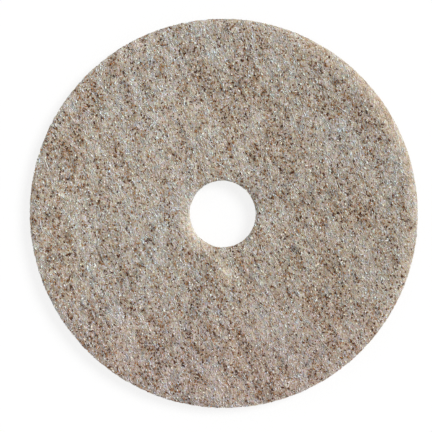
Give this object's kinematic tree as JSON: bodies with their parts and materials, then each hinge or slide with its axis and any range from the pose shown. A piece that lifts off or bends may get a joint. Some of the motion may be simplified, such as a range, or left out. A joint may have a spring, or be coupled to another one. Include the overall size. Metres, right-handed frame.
{
  "type": "floor polishing pad",
  "caption": "Round non-woven fibre pad with a central hole, gripped by a floor machine's pad driver to burnish hard floors.",
  "frame": {"origin": "centre of the pad's lower face, on the axis of the centre hole", "axes": "+Z along the pad's axis, out of the upper face; X and Y lie in the lower face, and the pad is round, so their turn about Z is free"},
  "size_m": [0.4826, 0.4826, 0.0254],
  "materials": {
    "fibre_web": "matte mottled fibre"
  },
  "bodies": {
    "root": {"fibre_pad": "fibre_web"}
  },
  "joints": []
}
